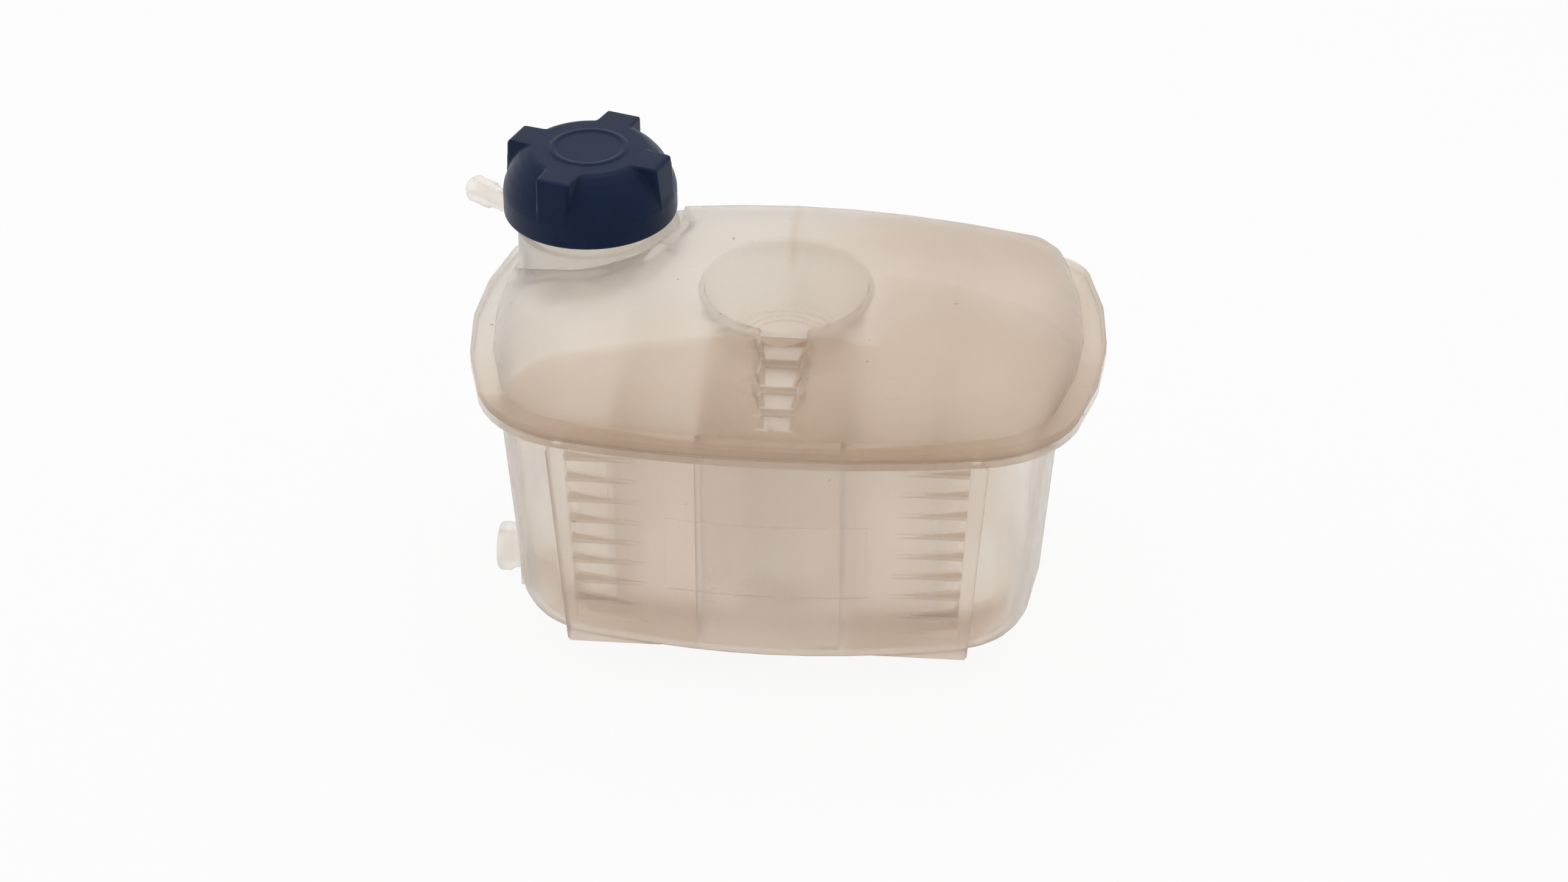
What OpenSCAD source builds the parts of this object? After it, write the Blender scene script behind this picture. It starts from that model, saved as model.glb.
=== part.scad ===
/* [Flange] */
// Length of the welded flange, end to end
flange_len = 239; // [210:1:280]
// Front edge of the flange ahead of the well axis
flange_front = 78; // [72:1:90]
// Back edge of the flange behind the well axis
flange_back = 84.5; // [76:1:95]
// Radius of the bowed front edge
front_r = 430; // [300:10:600]
// Radius of the bowed back edge
back_r = 415; // [300:10:600]
// Radius of the bowed ends
end_r = 160; // [135:5:240]
// Distance of the ends' middle behind the well axis
end_y = 12; // [0:1:15]
// Radius of the two front corners
front_corner_r = 43; // [36:1:48]
// Radius of the two back corners
back_corner_r = 20; // [20:1:40]
// Thickness of each half's lip
lip_t = 2.8; // [2:0.1:4]
// Height of the weld bead between the two lips
bead_t = 0.9; // [0.4:0.1:1.5]
// How far the weld bead lies back from the lips' edge
bead_inset = 0.7; // [0.3:0.1:1.5]
// Width of the raised rim round the upper lip
rim_w = 1.6; // [1:0.1:3]
// Height of that rim above the lip
rim_h = 0.6; // [0.3:0.1:1.5]

/* [Walls] */
// Wall thickness of both halves
wall = 2.6; // [2:0.1:3.5]
// Height of the flange's top face above the standing plane
flange_z = 108; // [96:1:125]

/* [Dome] */
// Distance from the flange's edge to the foot of the dome
dome_inset = 8.5; // [6:0.5:10]
// Height of the dome above the flange at the well axis
dome_h = 23.7; // [22:0.1:28]
// Rise of the dome towards the back, per mm
dome_tilt = 0.07; // [0:0.01:0.12]
// Fall of the dome towards its ends
dome_fall = 5; // [0:0.1:6]
// Extra height of the crown in the middle
crown_h = 0.8; // [0:0.1:2]
// Width of the rounded shoulder at the ends
shoulder_end = 30; // [24:1:34]
// Width of the rounded shoulder at the front
shoulder_front = 38; // [30:1:40]
// Width of the rounded shoulder at the back
shoulder_back = 33; // [26:1:36]

/* [Well] */
// Radius of the well at its rim
well_r = 30; // [28:0.5:33]
// Radius of the well's floor
well_floor_r = 21.5; // [18:0.5:24]
// Height of the well's floor above the flange
well_floor_h = 2; // [0:0.5:6]
// Height of the rim's inner edge above the flange
well_rim_h = 20.5; // [18:0.5:22]
// Radius of the rounded rim
well_rim_r = 8; // [6:0.5:9]
// Number of rings moulded in the floor
ring_count = 3; // [1:1:4]
// Width of each ring
ring_w = 1.4; // [0.8:0.1:2]
// Step between rings
ring_step = 0.8; // [0.4:0.1:1.2]
// Outer radius of the round chamber below the well
chamber_r = 28; // [25.5:0.5:30]

/* [Stepped channel] */
// Height of the treads above the flange, the sill first
tread_z = [20.6, 16.4, 11.6, 7.4, 3.2]; // [0:0.1:24]
// Distance of each tread's front edge ahead of the well axis
tread_y = [33, 41.2, 52.3, 60.5, 69.5]; // [30:0.1:72]
// Floor width at the back of each tread
tread_back_w = [16.4, 14.2, 11.6, 10.8, 9]; // [6:0.1:18]
// Floor width at the front of each tread
tread_front_w = [16, 11.6, 9.6, 9, 6.8]; // [6:0.1:18]
// Shift of the channel to the right of the well axis
channel_x = 1.8; // [0:0.1:3]
// Width of the channel where it breaks through the dome, at the well and at the foot
channel_w = [18.6, 15.6]; // [12:0.1:24]

/* [Filler neck] */
// Neck axis left of the well axis
neck_x = 78; // [74:0.5:84]
// Neck axis behind the well axis
neck_y = 38; // [34:0.5:42]
// Radius of the boss that carries the neck
boss_r = 28; // [26.5:0.1:29]
// Height of the boss above the flange
boss_h = 24.8; // [22:0.1:28]
// Height of the moat's floor beside the boss
shelf_h = 11; // [8:0.5:14]
// Rise of that floor towards the well, per mm
shelf_rise = 0.17; // [0:0.01:0.2]
// Outer radius of the neck
neck_r = 25.5; // [24:0.1:26]
// Bore radius of the neck
bore_r = 21.5; // [20:0.1:22]
// Height of the neck's mouth above the flange
neck_top_h = 50; // [46:0.5:51]
// Gap between the boss and the dome in front of it
moat_w = 3.4; // [2.5:0.1:6]
// Radius of the moat's corners away from the boss
moat_corner_r = 12; // [8:0.5:14]
// Distance of the moat's inner corner to the right of the neck axis
moat_right = 21; // [18:0.5:24]
// Distance of that corner behind the neck axis
moat_front = 3; // [0:0.5:6]
// Reach of the moat behind the neck axis
moat_back = 70; // [60:1:80]
// Reach of the moat to the left of the neck axis
moat_left = 60; // [50:1:70]

/* [Cap] */
// Outer radius of the cap's skirt
cap_r = 33; // [32:0.5:35]
// Height of the cap's lower rim above the flange
cap_rim_h = 31.3; // [30:0.1:33]
// Room between the neck's mouth and the cap's top plate
cap_room = 5.2; // [4.8:0.1:7]
// Height of the cap's straight skirt
cap_skirt_h = 9.5; // [7:0.5:12]
// Shape of the shoulder between the lobes: 1 is full and round, 2 straight as a cone
shoulder_power = 1.35; // [1:0.05:2]
// Radius of the flat disc on top
cap_disc_r = 21.6; // [19:0.2:23]
// Number of grip lobes
lobe_count = 4; // [3:1:6]
// Width of each lobe
lobe_w = 14.4; // [8:0.2:16]
// Turn of the first lobe from the length axis
lobe_angle = -18.5; // [-45:0.5:45]
// Thickness of the cap's top plate
cap_top_t = 2.2; // [2:0.1:3]
// Inner radius of the cap's skirt
cap_bore_r = 27.6; // [27.2:0.1:28]
// Radius of the plain raised ring on the cap's top
cap_ring_r = 13; // [8:0.5:18]
// Height of that ring
cap_ring_h = 0.5; // [0.3:0.1:1]

/* [Hose connections] */
// Outer radius of the bleed pipe
bleed_r = 4.15; // [3.5:0.05:5]
// Radius of the bleed pipe's swollen end
bleed_bulb_r = 5.35; // [4.8:0.05:6]
// Reach of the bleed pipe from the neck axis
bleed_reach = 66; // [56:1:72]
// Length of the bleed pipe's swollen end
bleed_bulb_len = 12.8; // [8:0.2:14]
// Height of the bleed pipe's axis above the flange
bleed_h = 17; // [14:0.5:20]
// Turn of the bleed pipe towards the back from the left
bleed_turn = 36.7; // [20:0.1:50]
// Bore radius of the bleed pipe
bleed_bore_r = 2.4; // [1.5:0.1:3]
// Outer radius of the outlet pipe
outlet_r = 8.2; // [7:0.1:9]
// Radius of the outlet pipe's swollen end
outlet_bulb_r = 9.6; // [8.5:0.1:10.5]
// Reach of the outlet pipe from the well axis
outlet_reach = 112; // [106:1:122]
// Height of the outlet pipe's axis above the standing plane
outlet_z = 11.5; // [10.5:0.5:14]
// Distance of the outlet pipe's axis behind the well axis
outlet_y = -5.5; // [-8:0.5:12]
// Distance of the outlet boss's face left of the well axis
outlet_face = 102; // [101:0.5:104]
// Length of the outlet pipe's swollen end
outlet_bulb_len = 7; // [6:0.5:9]
// Bore radius of the outlet pipe
outlet_bore_r = 5.6; // [4.5:0.1:6.5]

/* [Tub] */
// Length of the tub just below the flange
tub_len = 212; // [200:1:218]
// Front of the tub ahead of the well axis
tub_front = 72.5; // [68:0.5:74]
// Back of the tub behind the well axis
tub_back = 76; // [68:0.5:78]
// Radius of the tub's bowed ends
tub_end_r = 260; // [150:10:300]
// Radius of the tub's bowed front wall
tub_front_r = 260; // [220:10:420]
// Radius of the tub's vertical corners
tub_corner_r = 20; // [18:1:38]
// Shift of the tub to the left of the well axis
tub_shift = 0.8; // [0:0.1:3]
// Inward lean of the tub's ends over their height
tub_draft_x = 6.5; // [2:0.5:9]
// Inward lean of the tub's front and back over their height
tub_draft_y = 0.9; // [0.5:0.1:3]
// Radius of the tub's bottom edge at the ends
tub_foot_x = 12; // [10:1:28]
// Radius of the tub's bottom edge at the front and back
tub_foot_y = 4; // [4:0.5:12]
// Height of the tub's floor above the standing plane
tub_floor_z = 12; // [8:0.5:16]
// Length of the sump under the tub
sump_len = 178; // [150:1:184]
// Front of the sump ahead of the well axis
sump_front = 42; // [36:0.5:46]
// Back of the sump behind the well axis
sump_back = 58; // [50:0.5:62]
// Radius of the sump's vertical corners
sump_corner_r = 24; // [18:1:30]
// Radius of the sump's bottom edge
sump_foot_r = 7; // [4:0.5:10]
// Thickness of the webs and of the round chamber's wall
web_t = 2.2; // [1.6:0.1:3]
// Distance of each cross web from the well axis
web_x = 59; // [50:1:66]

/* [Mounting pad] */
// Front plane of the pad ahead of the well axis
pad_y = 68; // [66:0.5:70]
// Shift of the pad to the left of the well axis
pad_shift = 1.6; // [0:0.1:3]
// Half width of the pad at its top
pad_top_x = 80; // [76:0.5:82]
// Half width of the pad at its bottom
pad_bottom_x = 74.5; // [70:0.5:76]
// Face width of the end plates at the top
plate_top_w = 6.2; // [4:0.1:8]
// Face width of the end plates at the bottom
plate_bottom_w = 4.4; // [3:0.1:6]
// Number of ribs on each side
rib_count = 8; // [5:1:9]
// Spacing of the ribs
rib_pitch = 8.95; // [8:0.05:10]
// Thickness of a rib
rib_t = 1.5; // [1:0.1:2.5]
// Height of the feet at the pad's lower corners
pad_foot_h = 10; // [7:0.5:14]
// Inner end of the feet from the well axis
pad_foot_x = 34; // [30:1:45]
// Width of the raised field on the front wall
field_w = 74; // [50:1:84]
// Height of that field
field_h = 31; // [20:1:40]
// Depth of that field's top edge below the flange
field_drop = 36.3; // [30:0.1:44]
// How far the field stands out
field_t = 0.4; // [0.3:0.1:0.8]

/* [Cap valve] */
// Outer radius of the valve housing
housing_r = 20.6; // [20:0.1:21]
// Depth of the valve housing below the neck's mouth
housing_depth = 19; // [18:0.5:20]
// Wall thickness of the valve housing
housing_t = 2.6; // [2.2:0.1:3]
// Height of the pressure seat's lip above the housing's underside
seat_lip_h = 3; // [2.6:0.1:3.6]
// Depth of the retainer's underside below the neck's mouth
retainer_drop = 4.6; // [4.2:0.1:5.4]
// Height of the vacuum poppet's clip above the pressure plate
clip_rise = 4.2; // [3.8:0.1:4.8]
// Radius of the housing's flange
housing_flange_r = 26.8; // [26.5:0.1:27]
// Wire radius of the housing's seal ring
seal_wire_r = 1; // [0.9:0.05:1.2]
// Radius of the pressure seat's opening
seat_r = 7; // [6.4:0.2:7.6]
// Radius of the pressure plate
plate_r = 12; // [11:0.2:13]
// Thickness of the pressure plate
plate_t = 1.6; // [1.2:0.1:2]
// Thickness of the rubber rings
pad_t = 1.2; // [1:0.1:1.6]
// Radius of the vacuum poppet's stem
stem_r = 1.5; // [1.2:0.1:1.8]
// Radius of the vacuum poppet's head
head_r = 5; // [4.6:0.1:5.4]
// Wire radius of the pressure spring
wire_r = 0.6; // [0.5:0.05:0.7]
// Coil radius of the pressure spring
coil_r = 9; // [8:0.2:10]
// Turns of the pressure spring
coil_turns = 4; // [3:1:4]
// Wire radius of the vacuum spring
fine_wire_r = 0.25; // [0.2:0.05:0.3]
// Coil radius of the vacuum spring
fine_coil_r = 3.4; // [3.2:0.1:3.8]

/* [Hidden] */
$fn = 64;
tiny = 0.01;
milky = [0.86, 0.80, 0.74];
navy = [0.06, 0.11, 0.20];
plastic = [0.13, 0.13, 0.14];
rubber = [0.06, 0.06, 0.06];
steel = [0.72, 0.72, 0.74];
brass = [0.78, 0.62, 0.32];

seam_z = flange_z - rim_h - lip_t;
lower_top_z = seam_z - bead_t;
lower_lip_z = lower_top_z - lip_t;
tread_count = len(tread_z);

// Heights inside the cap, above the flange
housing_floor_h = neck_top_h - housing_depth;
seat_h = housing_floor_h + seat_lip_h;
plate_h = seat_h + pad_t;
spring_foot_h = plate_h + plate_t;
retainer_h = neck_top_h - retainer_drop;
clip_h = spring_foot_h + clip_rise;

// Height of the cap from its rim to its flat top
cap_h = neck_top_h + cap_room + cap_top_t - cap_rim_h;

// Length of the slope behind a pipe's swollen end, per mm of swelling
bulb_slope = 1.6;

// Meeting point of two circles, on the side that s gives
function meet(c1, r1, c2, r2, s) =
    let (d = c2 - c1, l = norm(d), u = d / l,
         a = (l * l + r1 * r1 - r2 * r2) / (2 * l), h = sqrt(r1 * r1 - a * a))
    c1 + a * u + s * h * [-u[1], u[0]];
function heading(c, p) = atan2(p[1] - c[1], p[0] - c[0]);

// An outline of tangent arcs, each as centre, radius, start, end and steps. It takes
// the half length, front, back, end radius and its y, front and back radius, and the
// front and back corner radius.
function outline(a, f, b, er, ey, fr, br, cf, cb) =
    let (ec = [a - er, ey], fc = [0, fr - f], bc = [0, b - br],
         kf = meet(ec, er - cf, fc, fr - cf, -1),
         kb = meet(ec, er - cb, bc, br - cb, 1))
    [
        [fc, fr, -90, heading(fc, kf), 5],
        [kf, cf, heading(fc, kf), heading(ec, kf), 7],
        [ec, er, heading(ec, kf), heading(ec, kb), 4],
        [kb, cb, heading(ec, kb), heading(bc, kb), 6],
        [bc, br, heading(bc, kb), 90, 4]
    ];
function half_ring(arcs, d) = concat(
    [for (q = arcs) for (i = [0 : q[4] - 1])
        let (t = q[2] + (q[3] - q[2]) * i / q[4]) q[0] + (q[1] - d) * [cos(t), sin(t)]],
    [let (q = arcs[len(arcs) - 1]) q[0] + (q[1] - d) * [0, 1]]);
function full_ring(arcs, d) =
    let (h = half_ring(arcs, d), n = len(h))
    concat(h, [for (i = [n - 2 : -1 : 1]) [-h[i][0], h[i][1]]]);

// The flange's and the tub's outlines, drawn in by dx at the ends, df and db
function flange_ring(dx, df, db) =
    full_ring(outline(flange_len / 2 - dx, flange_front - df, flange_back - db,
        end_r - dx, end_y, front_r - df, back_r - db,
        max(front_corner_r - df, 10), max(back_corner_r - db, 10)), 0);
function tub_ring(dx, dy, t) =
    full_ring(outline(tub_len / 2 - dx - t, tub_front - dy - t, tub_back - dy - t,
        tub_end_r - t, end_y / 2, tub_front_r - t, back_r - t, tub_corner_r - t,
        tub_corner_r - t), 0);
function at_height(ring, z) = [for (p = ring) [p[0], p[1], z]];

// A closed solid through rings that all have the same number of points
module loft(rings) {
    n = len(rings[0]);
    m = len(rings);
    polyhedron(
        points = [for (r = rings) for (p = r) p],
        faces = concat(
            [[for (i = [0 : n - 1]) i]],
            [for (j = [0 : m - 2]) for (i = [0 : n - 1])
                let (k = (i + 1) % n) [j * n + i, (j + 1) * n + k, j * n + k]],
            [for (j = [0 : m - 2]) for (i = [0 : n - 1])
                let (k = (i + 1) % n) [j * n + i, (j + 1) * n + i, (j + 1) * n + k]],
            [[for (i = [n - 1 : -1 : 0]) (m - 1) * n + i]]),
        convexity = 8);
}

flange_arcs = outline(flange_len / 2, flange_front, flange_back, end_r, end_y,
    front_r, back_r, front_corner_r, back_corner_r);
sump_arcs = outline(sump_len / 2, sump_front, sump_back, end_r, end_y / 2,
    front_r, back_r, sump_corner_r, sump_corner_r);

module flange_plate(d, z0, z1) {
    translate([0, 0, z0]) linear_extrude(z1 - z0) polygon(full_ring(flange_arcs, d));
}
module at_neck(h) {
    translate([-neck_x, neck_y, flange_z + h]) children();
}

// Height of the dome's outer face above the flange at distance y behind the well axis
function dome_top(y, x = 0) =
    dome_h + dome_tilt * y - dome_fall * pow(2 * x / flange_len, 2);
function front_top(y) =
    let (y1 = flange_front - dome_inset - shoulder_front, u = max(0, -y - y1) / shoulder_front)
    dome_top(y) * sqrt(max(0, 1 - u * u));

// The dome's form, t inside its outer face
module dome_form(t) {
    steps = t > 0 ? 4 : 6;
    foot = t > 0 ? lower_top_z - 2 : seam_z;
    d = dome_inset + t;
    side = [for (j = [0 : steps]) let (q = 90 * j / steps, u = 1 - cos(q))
        [for (p = flange_ring(d + (shoulder_end - t) * u, d + (shoulder_front - t) * u,
                d + (shoulder_back - t) * u))
            [p[0], p[1], flange_z + (dome_top(p[1], p[0]) - t) * sin(q)]]];
    top = side[steps];
    cy = (shoulder_front - shoulder_back) / 2;
    loft(concat(
        [at_height(flange_ring(d, d, d), foot)],
        side,
        [for (k = [0.8, 0.55]) [for (p = top) let (y = cy + (p[1] - cy) * k)
            [p[0] * k, y, flange_z + dome_top(y) - t + crown_h * (1 - k * k)]]]));
}

// The well: a revolved bowl with a rounded rim and stepped rings, grown by t
module well_form(t) {
    floor_z = flange_z + well_floor_h;
    rim_z = flange_z + well_rim_h;
    low_z = floor_z - ring_count * ring_step;
    fr = well_rim_r - t;
    rings = t > 0 ? [[0, low_z - t], [well_floor_r + t * 0.8, low_z - t]] :
        concat([[0, low_z]],
            [for (i = [ring_count : -1 : 1]) for (s = [0, 1])
                [well_floor_r - 1 - i * ring_w * 1.6, floor_z - (i - s) * ring_step]],
            [[well_floor_r, floor_z]]);
    flare = [for (i = [0 : 5]) let (q = 15 * i)
        [well_r + well_rim_r - fr * cos(q), rim_z + fr * sin(q)]];
    top_z = flange_z + dome_h + 9;
    rotate_extrude($fn = t > 0 ? 48 : 72) polygon(concat(
        rings, flare, [[well_r + well_rim_r + 1, top_z], [0, top_z]]));
}

// One tread of the stepped channel, grown by t. Its flanks end at the dome's face.
module tread(i, t) {
    y0 = i == 0 ? well_r - 5 : tread_y[i - 1] - tiny;
    y1 = i == tread_count - 1 ? tread_y[i] + 3 : tread_y[i];
    z0 = tread_z[i] - t;
    z1 = dome_h + 4;
    run = tread_y[tread_count - 1] - well_r;
    function half_w(y) =
        t + (channel_w[0] + (channel_w[1] - channel_w[0]) * (y - well_r) / run) / 2;
    function face(y) = max(tread_z[i] + 1.2, front_top(-y));
    wb = tread_back_w[i] / 2 + t;
    wf = tread_front_w[i] / 2 + t;
    a = t - y0;
    b = -y1 - t;
    low = [[wb, a, z0], [wf, b, z0]];
    mid = [[half_w(y0), a, face(y0)], [half_w(y1), b, face(y1)]];
    top = [[half_w(y0), a, z1], [half_w(y1), b, z1]];
    translate([channel_x, 0, flange_z]) polyhedron(
        points = [for (q = [low, mid, top]) for (p = [[-1, 0], [1, 0], [1, 1], [-1, 1]])
            [p[0] * q[p[1]][0], q[p[1]][1], q[p[1]][2]]],
        faces = concat(
            [[3, 2, 1, 0], [8, 9, 10, 11]],
            [for (j = [0, 4]) for (k = [0 : 3]) let (m = (k + 1) % 4) [j + k, j + m, j + 4 + m]],
            [for (j = [0, 4]) for (k = [0 : 3]) let (m = (k + 1) % 4)
                [j + k, j + 4 + m, j + 4 + k]]));
}
module channel_form(t) {
    for (i = [0 : tread_count - 1]) tread(i, t);
}

// The moat round the boss, open to the back left corner, grown by t
module moat(t) {
    slope = 2.4;
    at_neck(shelf_h - t)
        multmatrix([[1, 0, 0, 0], [0, 1, 0, 0], [shelf_rise, 0, 1, 0], [0, 0, 0, 1]])
        hull() for (level = [0, 1]) translate([0, 0, level * 18]) {
            e = t + slope * level;
            linear_extrude(level == 0 ? 1 : 24) {
                circle(boss_r + moat_w - slope * 0.7 + e, $fn = 40);
                for (p = [[moat_right, moat_front], [moat_right, moat_back], [-moat_left, moat_back]])
                    translate(p) circle(moat_corner_r + e, $fn = 32);
            }
        }
}
module boss_plan(r) {
    hull() {
        circle(r);
        translate([5.5, 2]) circle(r);
    }
}

// Everything of the upper shell that is thin wall: dome, well, channel, boss and flange
module upper_skin() {
    difference() {
        union() {
            difference() {
                dome_form(0);
                moat(0);
            }
            flange_plate(0, seam_z, seam_z + lip_t);
            difference() {
                flange_plate(0, seam_z + lip_t - tiny, flange_z);
                flange_plate(rim_w, seam_z, flange_z + 1);
            }
            flange_plate(bead_inset, seam_z - bead_t / 2, seam_z + tiny);
            at_neck(-rim_h) linear_extrude(boss_h + rim_h) boss_plan(boss_r);
        }
        difference() {
            dome_form(wall);
            well_form(wall);
            channel_form(wall);
            moat(wall);
        }
        at_neck(-8) linear_extrude(boss_h - wall + 8) boss_plan(boss_r - wall, $fn = 40);
        well_form(0);
        channel_form(0);
    }
}

// A pipe along +X from x0 to x1 with a swollen, rounded end of length len_b
module pipe_solid(x0, x1, r, bulb_r, len_b) {
    round_r = min(bulb_r * 0.55, len_b * 0.3);
    rotate([0, 90, 0]) rotate_extrude($fn = 48) polygon(concat(
        [[0, x0], [r, x0], [r, x1 - len_b]],
        [[bulb_r, x1 - len_b + (bulb_r - r) * bulb_slope]],
        [for (q = [0 : 15 : 75]) [bulb_r - round_r * (1 - cos(q)), x1 - round_r * (1 - sin(q))]],
        [[bulb_r - round_r, x1], [0, x1]]));
}

module upper_shell() {
    color(milky) difference() {
        union() {
            resize([flange_len, 0, 0]) upper_skin();
            at_neck(boss_h - wall) cylinder(h = neck_top_h - boss_h + wall, r = neck_r);
            at_neck(bleed_h) rotate([0, 0, 180 - bleed_turn])
                pipe_solid(boss_r - wall + 0.5, bleed_reach, bleed_r, bleed_bulb_r, bleed_bulb_len);
        }
        at_neck(boss_h - wall - 1) cylinder(h = neck_top_h, r = bore_r);
        at_neck(bleed_h) rotate([0, 0, 180 - bleed_turn]) rotate([0, 90, 0])
            translate([0, 0, boss_r - wall - 1])
            cylinder(h = bleed_reach, r = bleed_bore_r, $fn = 32);
    }
}

// The tub's form, t inside its outer face
module tub_form(t) {
    z0 = tub_floor_z + t;
    z1 = t > 0 ? lower_top_z + 1 : lower_top_z - tiny;
    rx = tub_foot_x - t;
    ry = max(tub_foot_y - t, 1);
    function drawn(r, h) = h < r ? r - sqrt(max(0, r * r - (r - h) * (r - h))) : 0;
    levels = t > 0 ? [0, 0.05, 0.2, 0.55, 1] : [0, 0.03, 0.1, 0.22, 0.42, 0.7, 1];
    translate([-tub_shift, 0, 0]) loft([for (k = levels)
            let (h = rx * k, lean = 1 - h / (z1 - z0))
            at_height(tub_ring(tub_draft_x * lean + drawn(rx, h),
                tub_draft_y * lean + drawn(ry, h), t), z0 + h),
        at_height(tub_ring(0, 0, t), z1)]);
}

// The sump's form under the tub
module sump_form(t) {
    steps = 3;
    fr = sump_foot_r - t;
    loft(concat(
        [for (j = [0 : steps]) let (q = 90 * (1 - j / steps))
            at_height(full_ring(sump_arcs, t + fr * (1 - cos(q))), t + fr * (1 - sin(q)))],
        [at_height(full_ring(sump_arcs, t - 1.5), tub_floor_z + tub_foot_x * 0.3)]));
}

// One side of the front pad: an end plate, ribs and a foot, all cut at the pad plane
module pad_side() {
    z0 = tub_floor_z + 1.5;
    z1 = lower_lip_z;
    reach = 16;
    intersection() {
        union() {
            translate([0, reach - pad_y, 0]) rotate([90, 0, 0]) linear_extrude(reach) polygon([
                [pad_bottom_x - plate_bottom_w, z0], [pad_bottom_x - 1, z0],
                [pad_bottom_x, z0 + 1.5], [pad_top_x, z1 - 4], [pad_top_x - 3.8, z1 + 1],
                [pad_top_x - plate_top_w, z1 + 1]]);
            for (i = [0 : rib_count - 1]) let (z = z1 - i * rib_pitch - rib_pitch * 0.8)
                translate([0, -pad_y, z]) cube([pad_bottom_x, reach, rib_t]);
            translate([0, reach - pad_y, 0]) rotate([90, 0, 0]) linear_extrude(reach) polygon([
                [pad_foot_x + 6, z0], [pad_bottom_x - 1, z0], [pad_bottom_x - 1, z0 + pad_foot_h],
                [pad_foot_x, z0 + pad_foot_h], [pad_foot_x, z0 + 5], [pad_foot_x + 2, z0 + 1.5]]);
        }
        translate([0, -pad_y, 0]) cube([pad_top_x + 1, reach, flange_z]);
    }
}

// The raised field in the middle of the front wall
module front_field() {
    intersection() {
        tub_form(-field_t);
        translate([-field_w / 2 - pad_shift, -tub_front - 5, flange_z - field_drop - field_h])
            cube([field_w, 20, field_h]);
    }
}

// The round chamber, the webs that tie it to the walls and the two cross webs, with
// openings for coolant at the floor and for air at the seam
module inner_webs() {
    top = lower_top_z - 0.5;
    side_x = chamber_r - web_t - 0.4;
    difference() {
        union() {
            difference() {
                cylinder(h = top, r = chamber_r, $fn = 48);
                translate([0, 0, -1]) cylinder(h = top + 2, r = chamber_r - web_t, $fn = 48);
            }
            for (s = [0, 1]) mirror([s, 0, 0]) {
                translate([web_x - web_t / 2, -flange_back, 0]) cube([web_t, 2 * flange_back, top]);
                translate([side_x, -flange_back, 0]) cube([web_t, flange_back, top]);
            }
            translate([-web_t / 2, chamber_r - web_t / 2, 0]) cube([web_t, flange_back, top]);
        }
        for (q = [[-56, tub_floor_z + wall - 1], [-56, top - 8], [0, wall - 1], [0, top - 8]])
            translate([-web_x - 5, q[0] - 6, q[1]]) cube([2 * web_x + 10, 12, 10]);
        for (z = [wall - 1, top - 8]) translate([-10, 38, z]) cube([20, 12, 10]);
    }
}

module lower_skin() {
    difference() {
        union() {
            tub_form(0);
            sump_form(0);
            front_field();
            translate([-outlet_face, outlet_y - outlet_r - 3.3, 1.5])
                cube([outlet_face - sump_len / 2 + 5, 2 * outlet_r + 6.6, 20]);
            flange_plate(0, lower_lip_z, lower_top_z);
            difference() {
                flange_plate(bead_inset, lower_top_z - 1, lower_top_z + bead_t / 2);
                flange_plate(dome_inset + wall, lower_top_z - 2, lower_top_z + 1);
            }
            translate([-pad_shift, 0, 0]) for (s = [0, 1]) mirror([s, 0, 0]) pad_side();
        }
        difference() {
            union() {
                tub_form(wall);
                sump_form(wall);
            }
            inner_webs();
        }
        translate([8 - sump_len / 2, outlet_y, outlet_z]) rotate([0, -90, 0])
            cylinder(h = outlet_face - sump_len / 2 + 4, r = outlet_bore_r + 1.4, $fn = 24);
    }
}

module lower_shell() {
    color(milky) difference() {
        union() {
            resize([flange_len, 0, 0]) lower_skin();
            translate([0, outlet_y, outlet_z]) rotate([0, 0, 180])
                pipe_solid(outlet_face - 2, outlet_reach, outlet_r, outlet_bulb_r, outlet_bulb_len);
        }
        translate([0, outlet_y, outlet_z]) rotate([0, -90, 0])
            translate([0, 0, outlet_face - 2 * wall])
            cylinder(h = outlet_reach - outlet_face + 4 * wall, r = outlet_bore_r, $fn = 48);
    }
}

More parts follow.
